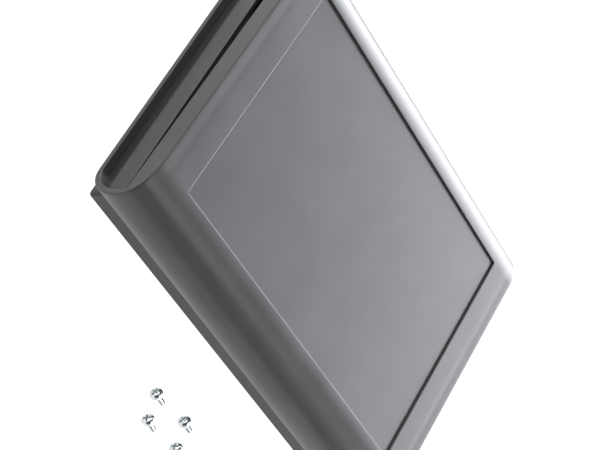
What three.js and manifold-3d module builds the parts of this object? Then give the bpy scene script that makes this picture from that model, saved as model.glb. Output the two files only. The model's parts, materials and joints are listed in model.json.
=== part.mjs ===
// Flat plastic instrument enclosure: lower shell on a plinth, upper shell with a recessed label panel, two slide-in
// end panels, and its four self-tapping screws lying loose beside it.
// Units are millimetres. X runs along the length, Y across, Z up; Z = 0 is the table under the plinth.
import * as THREE from "three";
import { mergeVertices } from "three/addons/utils/BufferGeometryUtils.js";
import Module from "manifold-3d";

const wasm = await Module();
wasm.setup();

// ---------- driving dimensions ----------
const length = 196;
const width = 144.5;
const height = 37.1; // upper shell closed
const plinthHeight = 5;
const plinthInset = 6;
const partingHeight = 23.4; // where the two shells meet, at the widest line of the flanks
const upperFlankWidth = 17; // the upper half of a flank is a quarter superellipse this wide
const upperFlankFullness = 2.2; // its exponent: 2 would be a plain ellipse
const lowerFlankWidth = 13.7; // the lower half is a quarter ellipse
const wall = 2.6;
const seam = 0.3; // running gap between neighbouring pieces

const recessLength = 162;
const recessWidth = 110;
const recessDepth = 1;
const recessCorner = 1;
const panelFloor = 2.3; // plastic left under the label recess

const endSetback = 3.5; // how far the end panels stand in from the end of the case
const endPanelThickness = 2;
const endPanelTop = 22.2;
const grooveDepth = 1.2;
const browBottom = 27.6; // lower edge of the upper shell's flush end wall
const lipBottom = 20.2; // dust lip of the upper shell, behind each end panel
const lipThickness = 1.4;

const tongueHeight = 1.4;
const tongueSetback = 1.5; // outer face of the tongue, in from the widest line
const tongueHalfLength = 88;

const bossX = 84;
const bossY = 57.5;
const lowerBossRadius = 4.5;
const lowerBossTop = 19.7;
const screwSeat = 17.2; // top of the counterbore, where the screw head bears
const counterboreRadius = 3.2;
const clearanceHoleRadius = 1.6;
const upperBossRadius = 3.6;
const pilotHoleRadius = 1.2;

const standoffX = 68;
const standoffY = 40;
const standoffRadius = 3;
const standoffHeight = 6;
const standoffHoleRadius = 1.2;

const liftAngle = 2.2; // degrees: the unscrewed upper shell sits raised along its +Y side

const screwLength = 8; // 3 x 8 pan head
const screwHeadRadius = 2.8;
const screwHeadHeight = 2.1;
const screwShankRadius = 1.3;
const screwTipLength = 2.2;
const crossSlotWidth = 0.75;
const crossSlotSpan = 3.1;
const crossSlotDepth = 1.3;
// Centre of the head's bearing face over the table (x, y) and the heading of the shank, in degrees from +X
const screwPlaces = [
  { x: -14.5, y: -100.9, heading: 2 },
  { x: -11.1, y: -111.2, heading: -1 },
  { x: 5.2, y: -99.4, heading: 0 },
  { x: 8.7, y: -110, heading: 1 },
];

const arcSteps = 12;
const halfLength = length / 2;
const halfWidth = width / 2;
const lowerTop = partingHeight - seam / 2;
const upperBottom = partingHeight + seam / 2;
const plinthFloor = 2.4;
// A screw leans until the rim of its head and the end of its straight shank both touch the table
const screwLean = Math.atan2(screwHeadRadius - screwShankRadius, screwLength - screwTipLength);

const plastic = new THREE.MeshStandardMaterial({ color: 0x2f3032, roughness: 0.45, metalness: 0 });
const zinc = new THREE.MeshStandardMaterial({ color: 0xc9d3da, roughness: 0.25, metalness: 1 });

// ---------- solids ----------
function solid(geometry) {
  const bare = geometry.clone();
  bare.deleteAttribute("normal");
  bare.deleteAttribute("uv");
  const merged = mergeVertices(bare, 1e-4);
  const vertProperties = new Float32Array(merged.attributes.position.array);
  const triVerts = new Uint32Array(merged.index.array);
  return new wasm.Manifold(new wasm.Mesh({ numProp: 3, vertProperties, triVerts }));
}

function meshOf(name, body, material) {
  const made = body.getMesh();
  const geometry = new THREE.BufferGeometry();
  geometry.setAttribute("position", new THREE.BufferAttribute(made.vertProperties, 3));
  geometry.setIndex(new THREE.BufferAttribute(made.triVerts, 1));
  geometry.computeVertexNormals();
  const mesh = new THREE.Mesh(geometry, material);
  mesh.name = name;
  return mesh;
}

function extrude(points, depth) {
  const shape = new THREE.Shape(points.map(([a, b]) => new THREE.Vector2(a, b)));
  return new THREE.ExtrudeGeometry(shape, { depth, bevelEnabled: false });
}

// An outline in (y, z) carried along X from x0 to x1.
function alongX(points, x0, x1) {
  const geometry = extrude(points, x1 - x0);
  const axes = new THREE.Matrix4().makeBasis(
    new THREE.Vector3(0, 1, 0),
    new THREE.Vector3(0, 0, 1),
    new THREE.Vector3(1, 0, 0),
  );
  geometry.applyMatrix4(axes);
  geometry.translate(x0, 0, 0);
  return solid(geometry);
}

function block(x0, x1, y0, y1, z0, z1) {
  const outline = [[y0, z0], [y1, z0], [y1, z1], [y0, z1]];
  return alongX(outline, x0, x1);
}

// A plate with rounded corners in plan, centred on the Z axis.
function roundedPlate(sizeX, sizeY, corner, z0, z1) {
  const points = [];
  for (const [sx, sy, start] of [[1, 1, 0], [-1, 1, 90], [-1, -1, 180], [1, -1, 270]]) {
    for (let i = 0; i <= 4; i++) {
      const turn = THREE.MathUtils.degToRad(start + (90 * i) / 4);
      const cx = sx * (sizeX / 2 - corner);
      const cy = sy * (sizeY / 2 - corner);
      points.push([cx + corner * Math.cos(turn), cy + corner * Math.sin(turn)]);
    }
  }
  const geometry = extrude(points, z1 - z0);
  geometry.translate(0, 0, z0);
  return solid(geometry);
}

function post(x, y, radius, z0, z1) {
  const geometry = new THREE.CylinderGeometry(radius, radius, z1 - z0, 24);
  geometry.rotateX(Math.PI / 2);
  geometry.translate(x, y, (z0 + z1) / 2);
  return solid(geometry);
}

function joined(solids) {
  return solids.reduce((whole, piece) => whole.add(piece));
}

// The four places mirrored from one corner.
function corners(x, y) {
  return [[x, y], [-x, y], [-x, -y], [x, -y]];
}

// ---------- cross-sections of the shells, set in by a distance ----------
function lowerOutline(inset) {
  const centreY = halfWidth - lowerFlankWidth;
  const across = lowerFlankWidth - inset;
  const down = lowerTop - plinthHeight - inset;
  const right = [];
  for (let i = 0; i <= arcSteps; i++) {
    const turn = (Math.PI / 2) * (i / arcSteps);
    right.push([centreY + across * Math.sin(turn), lowerTop - down * Math.cos(turn)]);
  }
  const left = right.map(([y, z]) => [-y, z]).reverse();
  return [...left, ...right];
}

function upperOutline(inset, top) {
  const centreY = halfWidth - upperFlankWidth;
  const across = upperFlankWidth - inset;
  const up = height - upperBottom - inset;
  const power = 2 / upperFlankFullness;
  const lastTurn = Math.asin(Math.min(1, (top - upperBottom) / up) ** (1 / power));
  const right = [];
  for (let i = 0; i <= arcSteps; i++) {
    const turn = lastTurn * (i / arcSteps);
    const y = centreY + across * Math.cos(turn) ** power;
    const z = upperBottom + up * Math.sin(turn) ** power;
    right.push([y, z]);
  }
  const left = right.map(([y, z]) => [-y, z]).reverse();
  return [...right, ...left];
}

// ---------- lower shell ----------
function lowerShell() {
  const plinthLength = length - 2 * plinthInset;
  const plinthWidth = width - 2 * plinthInset;
  const floorTop = plinthHeight + wall;
  const skin = alongX(lowerOutline(0), -halfLength, halfLength)
    .add(roundedPlate(plinthLength, plinthWidth, 1.5, 0, floorTop + 1))
    .subtract(alongX(lowerOutline(wall), -halfLength - 1, halfLength + 1))
    .subtract(
      roundedPlate(
        plinthLength - 2 * plinthFloor,
        plinthWidth - 2 * plinthFloor,
        1,
        plinthFloor,
        floorTop + 1,
      ),
    );
  const grooveNear = halfLength - endSetback - endPanelThickness - seam;
  const grooveFar = halfLength - endSetback + seam;
  const grooves = [
    alongX(lowerOutline(wall - grooveDepth), grooveNear, grooveFar),
    alongX(lowerOutline(wall - grooveDepth), -grooveFar, -grooveNear),
  ];
  const tongues = [-1, 1].map((side) => {
    const outer = side * (halfWidth - tongueSetback);
    const inner = side * (halfWidth - wall);
    const [low, high] = [outer, inner].sort((a, b) => a - b);
    return block(
      -tongueHalfLength,
      tongueHalfLength,
      low,
      high,
      lowerTop - 1,
      lowerTop + tongueHeight,
    );
  });
  const bosses = corners(bossX, bossY).map(([x, y]) =>
    post(x, y, lowerBossRadius, plinthFloor - 1, lowerBossTop),
  );
  const bossHoles = corners(bossX, bossY).flatMap(([x, y]) => [
    post(x, y, counterboreRadius, -1, screwSeat),
    post(x, y, clearanceHoleRadius, screwSeat - 1, lowerBossTop + 1),
  ]);
  const standoffTop = plinthFloor + standoffHeight;
  const standoffs = corners(standoffX, standoffY).map(([x, y]) =>
    post(x, y, standoffRadius, plinthFloor - 1, standoffTop),
  );
  const standoffHoles = corners(standoffX, standoffY).map(([x, y]) =>
    post(x, y, standoffHoleRadius, plinthFloor + 1, standoffTop + 1),
  );
  return joined([skin, ...tongues, ...bosses, ...standoffs])
    .subtract(joined(grooves))
    .subtract(joined([...bossHoles, ...standoffHoles]));
}

// ---------- upper shell, built closed ----------
function upperShell() {
  const cavityTop = height - recessDepth - panelFloor;
  const endWallInner = halfLength - endSetback - endPanelThickness - seam - lipThickness;
  const setbackFace = halfLength - endSetback;
  const cavity = alongX(upperOutline(wall, cavityTop), -endWallInner, endWallInner);
  const mouth = block(setbackFace, halfLength + 1, -halfWidth, halfWidth, 0, browBottom).intersect(
    alongX(upperOutline(wall, height - wall), setbackFace, halfLength + 1),
  );
  const rebates = [-1, 1].map((side) => {
    const outer = side * (halfWidth - tongueSetback + seam);
    const inner = side * (halfWidth - wall - 2);
    const [low, high] = [outer, inner].sort((a, b) => a - b);
    return block(
      -tongueHalfLength - seam,
      tongueHalfLength + seam,
      low,
      high,
      upperBottom - 1,
      lowerTop + tongueHeight + seam,
    );
  });
  const lipHalfWidth = halfWidth - wall - seam - 0.8;
  const lip = block(
    endWallInner,
    endWallInner + lipThickness,
    -lipHalfWidth,
    lipHalfWidth,
    lipBottom,
    upperBottom + 1,
  );
  const bosses = corners(bossX, bossY).map(([x, y]) =>
    post(x, y, upperBossRadius, lowerBossTop + seam, cavityTop + 1),
  );
  const bossHoles = corners(bossX, bossY).map(([x, y]) =>
    post(x, y, pilotHoleRadius, lowerBossTop, cavityTop - 1),
  );
  return alongX(upperOutline(0, height), -halfLength, halfLength)
    .subtract(cavity)
    .subtract(joined([mouth, mouth.mirror([1, 0, 0]), ...rebates]))
    .subtract(roundedPlate(recessLength, recessWidth, recessCorner, height - recessDepth, height + 1))
    .add(joined([lip, lip.mirror([1, 0, 0]), ...bosses]))
    .subtract(joined(bossHoles));
}

// ---------- end panels ----------
function endPanel(side) {
  const face = halfLength - endSetback;
  const plate = alongX(lowerOutline(wall - grooveDepth + seam), face - endPanelThickness, face);
  const trimmed = plate.subtract(
    block(0, halfLength, -halfWidth, halfWidth, endPanelTop, height),
  );
  return side > 0 ? trimmed : trimmed.mirror([1, 0, 0]);
}

// ---------- screws ----------
// One screw with its axis on Z, the bearing face of the head at Z = 0 and the tip down.
function screwBody() {
  const profile = [
    [0, -screwLength],
    [screwShankRadius, -screwLength + screwTipLength],
    [screwShankRadius, 0],
    [screwHeadRadius, 0],
    [screwHeadRadius, screwHeadHeight * 0.35],
  ];
  const domeSteps = 4;
  for (let i = 1; i <= domeSteps; i++) {
    const turn = (Math.PI / 2) * (i / domeSteps);
    const rise = screwHeadHeight * (0.35 + 0.65 * Math.sin(turn));
    profile.push([screwHeadRadius * (0.45 + 0.55 * Math.cos(turn)), rise]);
  }
  profile.push([0, screwHeadHeight]);
  const lathe = new THREE.LatheGeometry(
    profile.map(([r, z]) => new THREE.Vector2(r, z)),
    20,
  );
  lathe.rotateX(Math.PI / 2);
  const cross = [[crossSlotSpan, crossSlotWidth], [crossSlotWidth, crossSlotSpan]].map(([sx, sy]) =>
    block(
      -sx / 2,
      sx / 2,
      -sy / 2,
      sy / 2,
      screwHeadHeight - crossSlotDepth,
      screwHeadHeight + 1,
    ),
  );
  return solid(lathe).subtract(joined(cross));
}

// ---------- assembly ----------
const group = new THREE.Group();
group.name = "enclosure";
group.add(meshOf("lower_shell", lowerShell(), plastic));

const raised = upperShell()
  .translate([0, halfWidth, -upperBottom])
  .rotate([liftAngle, 0, 0])
  .translate([0, -halfWidth, upperBottom]);
group.add(meshOf("upper_shell", raised, plastic));
group.add(meshOf("end_panel_left", endPanel(-1), plastic));
group.add(meshOf("end_panel_right", endPanel(1), plastic));

screwPlaces.forEach(({ x, y, heading }, index) => {
  const rimHeight = screwHeadRadius * Math.cos(screwLean) + 0.02;
  const placed = screwBody()
    .rotate([0, THREE.MathUtils.radToDeg(screwLean) - 90, 0])
    .rotate([0, 0, heading])
    .translate([x, y, rimHeight]);
  group.add(meshOf(`screw_${index + 1}`, placed, zinc));
});

export default group;
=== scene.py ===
"""Looks of a flat plastic instrument enclosure with its four loose self-tapping screws.

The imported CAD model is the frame. Each visible piece is a fine mesh built here in the same place, with
rounded moulded edges, and replaces its plain CAD node. Everything is in metres, X along the case, Z up.
"""

import json
import math

import bmesh
import bpy
from mathutils import Matrix, Vector


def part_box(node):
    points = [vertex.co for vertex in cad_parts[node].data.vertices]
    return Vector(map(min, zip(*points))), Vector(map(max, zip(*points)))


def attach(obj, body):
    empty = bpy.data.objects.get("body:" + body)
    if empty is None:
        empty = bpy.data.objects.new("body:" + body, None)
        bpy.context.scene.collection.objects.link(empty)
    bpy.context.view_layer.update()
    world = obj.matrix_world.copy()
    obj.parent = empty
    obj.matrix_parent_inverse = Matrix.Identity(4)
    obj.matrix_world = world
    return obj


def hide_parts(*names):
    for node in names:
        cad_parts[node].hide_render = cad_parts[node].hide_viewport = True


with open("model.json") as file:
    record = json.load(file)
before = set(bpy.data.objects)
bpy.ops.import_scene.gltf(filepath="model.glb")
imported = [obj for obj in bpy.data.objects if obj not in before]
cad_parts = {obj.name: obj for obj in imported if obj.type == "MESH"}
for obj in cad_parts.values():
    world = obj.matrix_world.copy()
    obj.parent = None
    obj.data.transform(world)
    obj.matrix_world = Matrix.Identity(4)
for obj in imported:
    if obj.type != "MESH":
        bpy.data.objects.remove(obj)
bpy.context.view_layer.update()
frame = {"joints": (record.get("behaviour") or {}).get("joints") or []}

mm = 0.001

# ---------- driving dimensions ----------
lower_low, lower_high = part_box("lower_shell")
panel_low, panel_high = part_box("end_panel_right")
tip_joint = next(joint for joint in frame["joints"] if joint["name"] == "upper_shell_tip")
pivot = Vector(tip_joint["pos_m"])
lift = math.radians(-tip_joint["range_deg"][0])

half_length = lower_high.x
half_width = lower_high.y
parting = pivot.z - 0.15 * mm
seam = 0.04 * mm
lower_top = parting - seam / 2
upper_bottom = parting + seam / 2
height = 37.1 * mm
plinth_height = 5 * mm
plinth_inset = 6 * mm
plinth_floor = 2.4 * mm
upper_flank = 17 * mm
upper_fullness = 2.2
lower_flank = 13.7 * mm
wall = 2.6 * mm

recess_length = 162 * mm
recess_width = 110 * mm
recess_depth = 1 * mm
panel_floor = 2.3 * mm

end_setback = half_length - panel_high.x
panel_thickness = panel_high.x - panel_low.x
panel_top = panel_high.z
groove_depth = 1.2 * mm
panel_gap = 0.04 * mm
clearance = 0.3 * mm
brow_bottom = 27.6 * mm
lip_bottom = 20.2 * mm
lip_thickness = 1.4 * mm

tongue_height = 1.4 * mm
tongue_setback = 1.5 * mm
tongue_half_length = 88 * mm

boss_x = 84 * mm
boss_y = 57.5 * mm
lower_boss_radius = 4.5 * mm
lower_boss_top = 19.7 * mm
screw_seat = 17.2 * mm
standoff_x = 68 * mm
standoff_y = 40 * mm

end_edge = 0.6 * mm
rim_edge = 0.35 * mm
recess_edge = 0.4 * mm
sink_depth = 0.04 * mm
sink_half_width = 3.2 * mm
sink_centre = half_length - 4.8 * mm

screw_length = 8 * mm
head_radius = 2.8 * mm
head_height = 2.1 * mm
shank_radius = 1.3 * mm
core_radius = 0.98 * mm
thread_pitch = 1.06 * mm
tip_length = 2.2 * mm
screw_headings = [2, -1, 0, 1]

arc_steps = 28
edge_steps = 4


# ---------- mesh tools ----------
def new_object(name, vertices, faces):
    mesh = bpy.data.meshes.new(name)
    mesh.from_pydata(vertices, [], faces)
    work = bmesh.new()
    work.from_mesh(mesh)
    bmesh.ops.recalc_face_normals(work, faces=work.faces)
    work.to_mesh(mesh)
    work.free()
    made = bpy.data.objects.new(name, mesh)
    bpy.context.scene.collection.objects.link(made)
    return made


def loft(name, rings):
    """A closed solid through rings of points, each with the same number of points."""
    count = len(rings[0])
    vertices = [point for ring in rings for point in ring]
    faces = [tuple(range(count)), tuple(range(len(vertices) - count, len(vertices)))]
    for k in range(len(rings) - 1):
        for i in range(count):
            j = (i + 1) % count
            faces.append((k * count + i, k * count + j, (k + 1) * count + j, (k + 1) * count + i))
    return new_object(name, vertices, faces)


def along_x(outline, x):
    return [(x, y, z) for y, z in outline]


def block(low, high):
    outline = [(low[1], low[2]), (high[1], low[2]), (high[1], high[2]), (low[1], high[2])]
    return loft("block", [along_x(outline, low[0]), along_x(outline, high[0])])


def plate(size_x, size_y, corner, levels):
    """A plate with round corners. Each level is (z, how far the outline is set in)."""
    rings = []
    for z, inset in levels:
        radius = max(corner - inset, 0.05 * mm)
        ring = []
        for sign_x, sign_y, start in ((1, 1, 0), (-1, 1, 90), (-1, -1, 180), (1, -1, 270)):
            centre_x = sign_x * (size_x / 2 - inset - radius)
            centre_y = sign_y * (size_y / 2 - inset - radius)
            for i in range(7):
                turn = math.radians(start + 90 * i / 6)
                ring.append((centre_x + radius * math.cos(turn), centre_y + radius * math.sin(turn), z))
        rings.append(ring)
    return loft("plate", rings)


def post(x, y, levels, sides=48):
    """A round post or hole on the Z direction. Each level is (z, radius)."""
    rings = []
    for z, radius in levels:
        turns = [math.tau * i / sides for i in range(sides)]
        rings.append([(x + radius * math.cos(t), y + radius * math.sin(t), z) for t in turns])
    return loft("post", rings)


def four(x, y):
    return [(x, y), (-x, y), (-x, -y), (x, -y)]


def boolean(target, tools, operation):
    for tool in tools:
        step = target.modifiers.new("step", "BOOLEAN")
        step.operation = operation
        step.solver = "EXACT"
        step.object = tool
    depsgraph = bpy.context.evaluated_depsgraph_get()
    made = bpy.data.meshes.new_from_object(target.evaluated_get(depsgraph))
    target.modifiers.clear()
    target.data = made
    for tool in tools:
        bpy.data.objects.remove(tool)
    return target


def cut(target, tools):
    return boolean(target, tools, "DIFFERENCE")


def join(target, tools):
    return boolean(target, tools, "UNION")


def smooth(piece, angle=28):
    """Smooth shading that stays true on large flat faces, with hard corners past the angle in degrees."""
    work = bmesh.new()
    work.from_mesh(piece.data)
    bmesh.ops.remove_doubles(work, verts=work.verts, dist=1e-7)
    work.to_mesh(piece.data)
    work.free()
    piece.data.shade_smooth()
    piece.data.set_sharp_from_angle(angle=math.radians(angle))
    weighted = piece.modifiers.new("weighted", "WEIGHTED_NORMAL")
    weighted.keep_sharp = True
    depsgraph = bpy.context.evaluated_depsgraph_get()
    made = bpy.data.meshes.new_from_object(piece.evaluated_get(depsgraph))
    piece.modifiers.clear()
    piece.data = made
    return piece


def rounded_ends(end, radius):
    """Stations (x, inset) of a body whose two end edges are rounded."""
    half = []
    for i in range(edge_steps + 1):
        turn = math.pi / 2 * i / edge_steps
        half.append((end - radius * (1 - math.cos(turn)), radius * (1 - math.sin(turn))))
    return [(-x, inset) for x, inset in half] + [(x, inset) for x, inset in reversed(half)]


def flared_mouth(start, end, radius):
    """Stations (x, outset) of a cutter that leaves a rounded edge where it breaks out at the end plane."""
    stations = [(start, 0), (end - radius, 0)]
    for i in range(1, edge_steps + 1):
        turn = math.pi / 2 * i / edge_steps
        stations.append((end - radius * (1 - math.sin(turn)), radius * (1 - math.cos(turn))))
    return stations + [(end + 1 * mm, radius)]


# ---------- cross-sections of the shells ----------
def lower_outline(inset, rise=0.0):
    centre = half_width - lower_flank
    across = lower_flank - inset
    down = lower_top - plinth_height - inset
    right = []
    for i in range(arc_steps + 1):
        turn = math.pi / 2 * i / arc_steps
        right.append((centre + across * math.sin(turn), lower_top - down * math.cos(turn)))
    if rise:
        right.append((centre + across, lower_top + rise))
    return [(-y, z) for y, z in reversed(right)] + right


def upper_outline(inset, top=None, drop=0.0, foot=0.0):
    """Quarter superellipses on both sides of a flat top, lowered by drop and carried down by foot."""
    centre = half_width - upper_flank
    across = upper_flank - inset
    up = height - drop - upper_bottom - inset
    power = 2 / upper_fullness
    last = math.pi / 2 if top is None else math.asin(((top - upper_bottom) / up) ** (1 / power))
    right = [(centre + across, upper_bottom - foot)] if foot else []
    for i in range(arc_steps + 1):
        turn = last * i / arc_steps
        y = centre + across * max(0.0, math.cos(turn)) ** power
        right.append((y, upper_bottom + up * math.sin(turn) ** power))
    return right + [(-y, z) for y, z in reversed(right)]


# ---------- lower shell ----------
def lower_shell():
    rings = [along_x(lower_outline(inset), x) for x, inset in rounded_ends(half_length, end_edge)]
    shell = loft("lower_case_moulding", rings)
    plinth_x = 2 * (half_length - plinth_inset)
    plinth_y = 2 * (half_width - plinth_inset)
    floor_top = plinth_height + wall
    foot = [(0, rim_edge), (0.3 * rim_edge, 0.3 * rim_edge), (rim_edge, 0), (floor_top + 1 * mm, 0)]
    join(shell, [plate(plinth_x, plinth_y, 1.5 * mm, foot)])

    hollow = []
    for x, outset in flared_mouth(0, half_length, rim_edge):
        hollow.append((x, wall - outset))
    stations = [(-x, inset) for x, inset in reversed(hollow[1:])] + hollow[1:]
    inner = loft("inner", [along_x(lower_outline(inset, 1 * mm), x) for x, inset in stations])
    pit = [(plinth_floor, 0), (floor_top + 1 * mm, 0)]
    well = plate(plinth_x - 2 * plinth_floor, plinth_y - 2 * plinth_floor, 1 * mm, pit)
    cut(shell, [inner, well])

    groove_near = half_length - end_setback - panel_thickness - clearance
    groove_far = half_length - end_setback + panel_gap
    groove = lower_outline(wall - groove_depth, 1 * mm)
    grooves = [
        loft("groove", [along_x(groove, side * groove_near), along_x(groove, side * groove_far)])
        for side in (-1, 1)
    ]
    cut(shell, grooves)

    tongues = []
    for side in (-1, 1):
        outer = side * (half_width - tongue_setback)
        inner_face = side * (half_width - wall)
        low_y, high_y = sorted((outer, inner_face))
        low = (-tongue_half_length, low_y, lower_top - 1 * mm)
        tongues.append(block(low, (tongue_half_length, high_y, lower_top + tongue_height)))
    bosses = [
        post(x, y, [(plinth_floor - 1 * mm, lower_boss_radius), (lower_boss_top, lower_boss_radius)])
        for x, y in four(boss_x, boss_y)
    ]
    standoff_top = plinth_floor + 6 * mm
    standoff = [
        (plinth_floor - 1 * mm, 3 * mm),
        (standoff_top - 0.3 * mm, 3 * mm),
        (standoff_top, 2.7 * mm),
    ]
    standoffs = [post(x, y, standoff) for x, y in four(standoff_x, standoff_y)]
    join(shell, tongues + bosses + standoffs)

    holes = []
    for x, y in four(boss_x, boss_y):
        counterbore = [(-1 * mm, 3.6 * mm), (0, 3.6 * mm), (0.4 * mm, 3.2 * mm), (screw_seat, 3.2 * mm)]
        holes.append(post(x, y, counterbore))
        holes.append(post(x, y, [(screw_seat - 1 * mm, 1.6 * mm), (lower_boss_top + 1 * mm, 1.6 * mm)]))
    for x, y in four(standoff_x, standoff_y):
        holes.append(post(x, y, [(plinth_floor + 1 * mm, 1.2 * mm), (standoff_top + 1 * mm, 1.2 * mm)]))
    return cut(shell, holes)


# ---------- upper shell, built closed and then raised ----------
def sink_marks():
    """Stations (x, drop) of the faint sink mark that the thick end walls leave across the top."""
    half = []
    steps = 8
    for i in range(steps + 1):
        across = 2 * i / steps - 1
        drop = sink_depth * (1 + math.cos(math.pi * across)) / 2
        half.append((sink_centre + across * sink_half_width, drop))
    return [(-x, drop) for x, drop in reversed(half)] + half


def upper_shell():
    rounded = rounded_ends(half_length, end_edge)
    ends = [along_x(upper_outline(inset), x) for x, inset in rounded]
    middle = len(ends) // 2
    marks = [along_x(upper_outline(0, drop=drop), x) for x, drop in sink_marks()]
    shell = loft("upper_case_moulding", ends[:middle] + marks + ends[middle:])

    cavity_top = height - recess_depth - panel_floor
    end_wall_inner = half_length - end_setback - panel_thickness - clearance - lip_thickness
    setback_face = half_length - end_setback
    cavity_section = upper_outline(wall, top=cavity_top, foot=1 * mm)
    cavity = loft("cavity", [along_x(cavity_section, side * end_wall_inner) for side in (-1, 1)])

    mouths = []
    for side in (-1, 1):
        sections = []
        for x, outset in flared_mouth(setback_face, half_length, rim_edge):
            section = upper_outline(wall - outset, top=brow_bottom + outset, foot=1 * mm)
            sections.append(along_x(section, side * x))
        mouths.append(loft("mouth", sections))

    rebates = []
    for side in (-1, 1):
        outer = side * (half_width - tongue_setback + clearance)
        inner_face = side * (half_width - wall - 2 * mm)
        low_y, high_y = sorted((outer, inner_face))
        low = (-tongue_half_length - clearance, low_y, upper_bottom - 1 * mm)
        high = (tongue_half_length + clearance, high_y, lower_top + tongue_height + clearance)
        rebates.append(block(low, high))

    recess_levels = [(height - recess_depth, 0)]
    for i in range(edge_steps + 1):
        turn = math.pi / 2 * i / edge_steps
        level = height - recess_edge * (1 - math.sin(turn))
        recess_levels.append((level, -recess_edge * (1 - math.cos(turn))))
    recess_levels.append((height + 1 * mm, -recess_edge))
    recess = plate(recess_length, recess_width, 1 * mm, recess_levels)
    cut(shell, [cavity, *mouths, *rebates, recess])

    lip_half_width = half_width - wall - clearance - 0.8 * mm
    additions = []
    for side in (-1, 1):
        low_x, high_x = sorted((side * end_wall_inner, side * (end_wall_inner + lip_thickness)))
        low = (low_x, -lip_half_width, lip_bottom)
        additions.append(block(low, (high_x, lip_half_width, upper_bottom + 1 * mm)))
    for x, y in four(boss_x, boss_y):
        additions.append(
            post(x, y, [(lower_boss_top + clearance, 3.6 * mm), (cavity_top + 1 * mm, 3.6 * mm)])
        )
    join(shell, additions)
    pilots = [
        post(x, y, [(lower_boss_top, 1.2 * mm), (cavity_top - 1 * mm, 1.2 * mm)])
        for x, y in four(boss_x, boss_y)
    ]
    cut(shell, pilots)
    to_pivot = Matrix.Translation(pivot)
    shell.data.transform(to_pivot @ Matrix.Rotation(lift, 4, "X") @ to_pivot.inverted())
    return shell


# ---------- end panels ----------
def end_panel(side, name):
    face = half_length - end_setback
    edge = 0.2 * mm
    inset = wall - groove_depth + clearance
    stations = [
        (face - panel_thickness, inset + edge),
        (face - panel_thickness + edge, inset),
        (face - edge, inset),
        (face, inset + edge),
    ]
    sections = []
    for x, set_in in stations:
        points = []
        for y, z in lower_outline(set_in):
            points.append((y, min(z, panel_top - (set_in - inset))))
        sections.append(along_x(points, side * x))
    return loft(name, sections)


# ---------- screws ----------
def screw(name):
    """A screw on the Z axis, the bearing face of its head at Z = 0 and its tip down."""
    sides = 40
    rows = 132
    rings = []
    for k in range(rows + 1):
        z = -screw_length * (1 - k / rows)
        from_tip = (z + screw_length) / tip_length
        taper = min(1.0, max(0.03, from_tip)) ** 0.8
        run_out = min(1.0, max(0.0, -z / (0.6 * thread_pitch)))
        ring = []
        for i in range(sides):
            turn = math.tau * i / sides
            phase = (z / thread_pitch + i / sides) % 1.0
            ridge = max(0.0, 1 - abs(phase - 0.5) / 0.3) ** 1.3
            radius = (core_radius + (shank_radius - core_radius) * ridge * run_out) * taper
            ring.append((radius * math.cos(turn), radius * math.sin(turn), z))
        rings.append(ring)
    head = [(0, head_radius - 0.12 * mm), (0.1 * mm, head_radius), (0.3 * head_height, head_radius)]
    dome_steps = 8
    for i in range(1, dome_steps + 1):
        turn = math.pi / 2 * i / dome_steps
        level = head_height * (0.3 + 0.7 * math.sin(turn))
        head.append((level, head_radius * (0.3 + 0.7 * math.cos(turn))))
    body = loft(name, rings)
    join(body, [post(0, 0, head, sides)])

    depth = 1.3 * mm
    top = head_height + 0.5 * mm
    arms = []
    for turned in (False, True):
        sections = []
        for z, long_half, short_half in (
            (head_height - depth, 0.75 * mm, 0.24 * mm),
            (head_height - 0.35 * mm, 1.5 * mm, 0.36 * mm),
            (top, 1.85 * mm, 0.4 * mm),
        ):
            x, y = (short_half, long_half) if turned else (long_half, short_half)
            sections.append([(x, y, z), (-x, y, z), (-x, -y, z), (x, -y, z)])
        arms.append(loft("arm", sections))
    return cut(body, arms)


def lay_screw(index):
    made = screw(f"pan_head_screw_{index}")
    lean = math.atan2(head_radius - shank_radius, screw_length - tip_length)
    heading = math.radians(screw_headings[index - 1])
    spin = Matrix.Rotation(math.radians(35 + 40 * index), 4, "Z")
    made.data.transform(
        Matrix.Rotation(heading, 4, "Z") @ Matrix.Rotation(lean - math.pi / 2, 4, "Y") @ spin
    )
    low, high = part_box(f"screw_{index}")
    points = [vertex.co for vertex in made.data.vertices]
    own_low = Vector([min(point[k] for point in points) for k in range(3)])
    own_high = Vector([max(point[k] for point in points) for k in range(3)])
    place = (low + high) / 2 - (own_low + own_high) / 2
    place.z = low.z - own_low.z
    made.data.transform(Matrix.Translation(place))
    return made


# ---------- materials ----------
def node(tree, kind, **settings):
    made = tree.nodes.new(kind)
    for key, value in settings.items():
        if key in made.inputs:
            made.inputs[key].default_value = value
        else:
            setattr(made, key, value)
    return made


def noise(tree, scale, detail=4.0, stretch=None):
    coordinates = node(tree, "ShaderNodeTexCoord")
    made = node(tree, "ShaderNodeTexNoise", Scale=scale, Detail=detail)
    if stretch:
        mapping = node(tree, "ShaderNodeMapping", Scale=stretch)
        tree.links.new(coordinates.outputs["Object"], mapping.inputs["Vector"])
        tree.links.new(mapping.outputs["Vector"], made.inputs["Vector"])
    else:
        tree.links.new(coordinates.outputs["Object"], made.inputs["Vector"])
    return made.outputs["Fac"]


def spread(tree, value, low, high, from_low=0.3, from_high=0.7):
    made = node(tree, "ShaderNodeMapRange")
    made.inputs["From Min"].default_value = from_low
    made.inputs["From Max"].default_value = from_high
    made.inputs["To Min"].default_value = low
    made.inputs["To Max"].default_value = high
    tree.links.new(value, made.inputs["Value"])
    return made.outputs["Result"]


def blend_colour(tree, factor, first, second):
    """Sockets 6 and 7 and output 2 of a mix node are the ones for colours."""
    made = node(tree, "ShaderNodeMix", data_type="RGBA")
    made.inputs[6].default_value = (*first, 1)
    made.inputs[7].default_value = (*second, 1)
    tree.links.new(factor, made.inputs["Factor"])
    return made.outputs[2]


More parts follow.
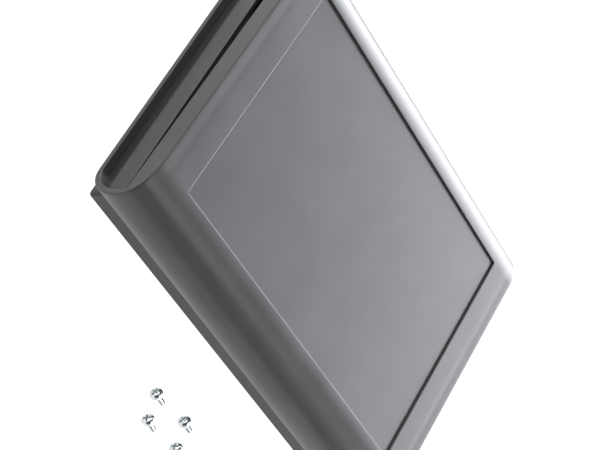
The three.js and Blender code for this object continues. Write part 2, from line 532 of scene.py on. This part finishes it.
def bump(tree, height_value, strength, distance, before=None):
    made = node(tree, "ShaderNodeBump", Strength=strength, Distance=distance)
    tree.links.new(height_value, made.inputs["Height"])
    if before:
        tree.links.new(before, made.inputs["Normal"])
    return made.outputs["Normal"]


def start_material(name):
    material = bpy.data.materials.new(name)
    material.use_nodes = True
    tree = material.node_tree
    return material, tree, tree.nodes["Principled BSDF"]


def add(tree, first, second, operation="ADD"):
    made = node(tree, "ShaderNodeMath", operation=operation)
    tree.links.new(first, made.inputs[0])
    tree.links.new(second, made.inputs[1])
    return made.outputs[0]


def plastic(name, tone, roughness, grain):
    """Dark grey moulded plastic: fine grain, slow variation in tone and gloss, faint rubbing marks."""
    material, tree, surface = start_material(name)
    cloudy = spread(tree, noise(tree, 55, 5.0), 0, 1)
    colour = blend_colour(tree, cloudy, [0.92 * tone] * 3, [1.08 * tone] * 3)
    tree.links.new(colour, surface.inputs["Base Color"])
    cloud = spread(tree, noise(tree, 38, 3.0), -0.018, 0.022)
    rubbed = spread(tree, noise(tree, 90, 6.0, stretch=(1, 7, 7)), -0.01, 0.01)
    fine = spread(tree, noise(tree, 1900, 2.0), roughness - 0.01, roughness + 0.01)
    tree.links.new(add(tree, add(tree, cloud, rubbed), fine), surface.inputs["Roughness"])
    texture = bump(tree, noise(tree, 2600, 3.0), 0.15, grain)
    texture = bump(tree, noise(tree, 24, 2.0), 0.35, 0.02 * mm, texture)
    tree.links.new(texture, surface.inputs["Normal"])
    surface.inputs["IOR"].default_value = 1.42
    return material


def zinc(name):
    """Bright zinc plate with a faint blue passivation, fine turning marks and slightly uneven gloss."""
    material, tree, surface = start_material(name)
    tint = spread(tree, noise(tree, 700, 3.0), 0, 1)
    colour = blend_colour(tree, tint, (0.66, 0.72, 0.74), (0.78, 0.81, 0.82))
    tree.links.new(colour, surface.inputs["Base Color"])
    surface.inputs["Metallic"].default_value = 1.0
    gloss = spread(tree, noise(tree, 1500, 4.0), 0.16, 0.30)
    tree.links.new(gloss, surface.inputs["Roughness"])
    marks = bump(tree, noise(tree, 5200, 4.0), 0.2, 0.01 * mm)
    tree.links.new(marks, surface.inputs["Normal"])
    return material


def paper(name):
    material, tree, surface = start_material(name)
    cloudy = spread(tree, noise(tree, 6, 2.0), 0, 1)
    colour = blend_colour(tree, cloudy, (0.41, 0.40, 0.385), (0.43, 0.42, 0.405))
    tree.links.new(colour, surface.inputs["Base Color"])
    surface.inputs["Roughness"].default_value = 0.9
    surface.inputs["Specular IOR Level"].default_value = 0.1
    surface.inputs["Emission Color"].default_value = (1, 1, 1, 1)
    seen = node(tree, "ShaderNodeLightPath").outputs["Is Camera Ray"]
    glow = spread(tree, seen, table_glow, table_seen_glow, 0, 1)
    tree.links.new(glow, surface.inputs["Emission Strength"])
    return material


# ---------- pieces on their bodies ----------
case_plastic = plastic("case_plastic", 0.042, 0.315, 0.004 * mm)
panel_plastic = plastic("panel_plastic", 0.03, 0.14, 0.002 * mm)
screw_zinc = zinc("screw_zinc")


def place(piece, material, body, cad_node, slot_name):
    smooth(piece)
    piece.data.materials.clear()
    piece.data.materials.append(material)
    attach(piece, body)
    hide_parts(cad_node)


place(lower_shell(), case_plastic, "lower_case", "lower_shell", "case_plastic")
place(upper_shell(), case_plastic, "upper_case", "upper_shell", "case_plastic")
place(end_panel(-1, "left_end_plate"), panel_plastic, "lower_case", "end_panel_left", "panel_plastic")
place(end_panel(1, "right_end_plate"), panel_plastic, "lower_case", "end_panel_right", "panel_plastic")
for number in range(1, 5):
    place(lay_screw(number), screw_zinc, f"loose_screw_{number}", f"screw_{number}", "screw_zinc")


# ---------- floor, light and camera ----------
# A wall of light: azimuth, inner and outer half width and top in degrees, then its strength.
sweep = (43, 37, 86, 38, 10.6)
side_walls = [
    (115, 26, 73, 30, 3.0),
    (-60, 26, 73, 35, 0.6),
    (150, 18, 53, 35, 1.3),
]
# A lit patch: azimuth, elevation, inner and outer radius in degrees, then its strength.
window = (-36, 62, 3, 18, 3.6)
ceiling = (0, 90, 14, 28, 1.1)
neutral_light = (1.0, 1.0, 1.0)
cool_light = (0.962, 0.972, 1.035)
# The paper is overexposed in the picture, and less bright in what the case reflects.
table_glow = 0.62
table_seen_glow = 1.0


def table():
    reach = 12.0
    level = -0.03 * mm
    corners = [(x, y, level) for x, y in four(reach, reach)]
    made = new_object("table", corners, [(0, 1, 2, 3)])
    made.data.materials.append(paper("paper"))


def fade(tree, value, zero, full, strength):
    """A smooth step from 0 where value is zero to strength where it is full."""
    made = node(tree, "ShaderNodeMapRange", interpolation_type="SMOOTHSTEP")
    flip = full < zero
    made.inputs["From Min"].default_value = full if flip else zero
    made.inputs["From Max"].default_value = zero if flip else full
    made.inputs["To Min"].default_value = strength if flip else 0.0
    made.inputs["To Max"].default_value = 0.0 if flip else strength
    tree.links.new(value, made.inputs["Value"])
    return made.outputs["Result"]


def along(tree, direction, way):
    """How far a direction goes along a fixed way."""
    made = node(tree, "ShaderNodeVectorMath", operation="DOT_PRODUCT")
    made.inputs[1].default_value = way
    tree.links.new(direction, made.inputs[0])
    return made.outputs["Value"]


def lit_wall(tree, direction, level, azimuth, inner, outer, top, strength):
    """A wall of light round an azimuth, full within the inner angle, gone past the outer, up to a top."""
    turn = math.radians(azimuth)
    facing = along(tree, level, (math.cos(turn), math.sin(turn), 0))
    across = fade(tree, facing, math.cos(math.radians(outer)), math.cos(math.radians(inner)), 1)
    rise = along(tree, direction, (0, 0, 1))
    soft_edge = 5
    gone = math.sin(math.radians(top + soft_edge))
    full = math.sin(math.radians(top - soft_edge))
    up = fade(tree, rise, gone, full, strength)
    return add(tree, across, up, "MULTIPLY")


def lit_spot(tree, direction, azimuth, elevation, inner, outer, strength):
    """A round patch of light in the sky, full within the inner radius and gone past the outer."""
    turn, lean = math.radians(azimuth), math.radians(elevation)
    way = (math.cos(lean) * math.cos(turn), math.cos(lean) * math.sin(turn), math.sin(lean))
    facing = along(tree, direction, way)
    return fade(tree, facing, math.cos(math.radians(outer)), math.cos(math.radians(inner)), strength)


def studio():
    """A soft studio: a bright cool sweep behind the case, dimmer walls, a window and a faint ceiling."""
    world = bpy.data.worlds.new("studio")
    world.use_nodes = True
    tree = world.node_tree
    background = tree.nodes["Background"]
    direction = node(tree, "ShaderNodeTexCoord").outputs["Generated"]
    flat = node(tree, "ShaderNodeVectorMath", operation="MULTIPLY")
    flat.inputs[1].default_value = (1, 1, 0)
    tree.links.new(direction, flat.inputs[0])
    level = node(tree, "ShaderNodeVectorMath", operation="NORMALIZE")
    tree.links.new(flat.outputs[0], level.inputs[0])
    light = add(tree, lit_spot(tree, direction, *window), lit_spot(tree, direction, *ceiling))
    for side_wall in side_walls:
        light = add(tree, light, lit_wall(tree, direction, level.outputs[0], *side_wall))
    tree.links.new(light, background.inputs["Strength"])
    background.inputs["Color"].default_value = (*neutral_light, 1)
    behind = node(tree, "ShaderNodeBackground", Color=(*cool_light, 1))
    tree.links.new(lit_wall(tree, direction, level.outputs[0], *sweep), behind.inputs["Strength"])
    both = node(tree, "ShaderNodeAddShader")
    tree.links.new(background.outputs[0], both.inputs[0])
    tree.links.new(behind.outputs[0], both.inputs[1])
    tree.links.new(both.outputs[0], tree.nodes["World Output"].inputs["Surface"])
    bpy.context.scene.world = world


def camera():
    """Above the near corner, with the camera body turned a quarter turn."""
    data = bpy.data.cameras.new("camera")
    data.lens = 99.64
    data.sensor_width = 36
    made = bpy.data.objects.new("camera", data)
    bpy.context.scene.collection.objects.link(made)
    azimuth = math.radians(-47.31)
    elevation = math.radians(40.81)
    roll = math.radians(90.12)
    target = Vector((-11.5, -7.7, 20)) * mm
    distance = 687.7 * mm
    level = math.cos(elevation)
    back = Vector((math.sin(azimuth) * level, -math.cos(azimuth) * level, math.sin(elevation)))
    made.rotation_mode = "QUATERNION"
    turned = (-back).to_track_quat("-Z", "Y").to_matrix() @ Matrix.Rotation(roll, 3, "Z")
    made.rotation_quaternion = turned.to_quaternion()
    made.location = target + back * distance
    data.clip_start = 0.01
    data.clip_end = 100
    bpy.context.scene.camera = made


table()
studio()
camera()
bpy.context.scene.view_settings.view_transform = "Standard"
